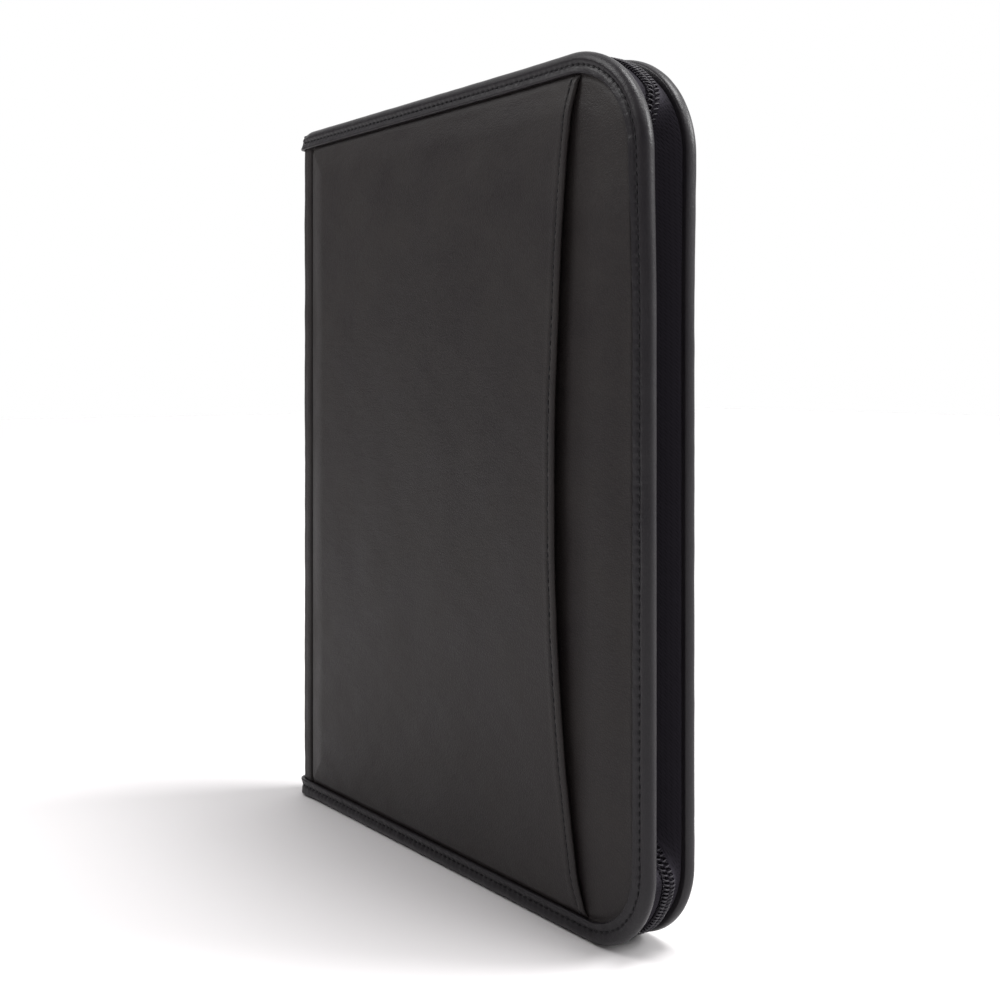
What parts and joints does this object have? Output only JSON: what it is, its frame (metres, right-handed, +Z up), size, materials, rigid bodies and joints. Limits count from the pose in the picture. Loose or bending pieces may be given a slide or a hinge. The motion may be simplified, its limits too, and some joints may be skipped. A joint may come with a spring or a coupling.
{
  "type": "zip-around leather document case",
  "caption": "Flat black leather case for A4 papers, with bound edges, a curved front pocket and a zip round its open sides, standing on its lower short edge",
  "frame": {"origin": "on the underside, below the middle of the case as it stands on its lower short edge", "axes": "+Z up along the height, X from the spine (-X) to the zip side (+X), the front cover faces -Y"},
  "size_m": [0.257, 0.0296, 0.34],
  "materials": {
    "cover_leather": "fine-grained black leather, satin",
    "binding_leather": "smooth black leather strip, satin",
    "zip_tape": "black woven tape",
    "zip_coil": "black nylon coil",
    "zip_slider": "black enamel"
  },
  "bodies": {
    "root": {"front_cover": "cover_leather", "back_cover": "cover_leather", "spine": "cover_leather", "front_pocket": "cover_leather", "front_binding": "binding_leather", "back_binding": "binding_leather", "front_zip_tape": "zip_tape", "back_zip_tape": "zip_tape", "front_zip_coil": "zip_coil", "back_zip_coil": "zip_coil", "zip_slider": "zip_slider"}
  },
  "joints": []
}
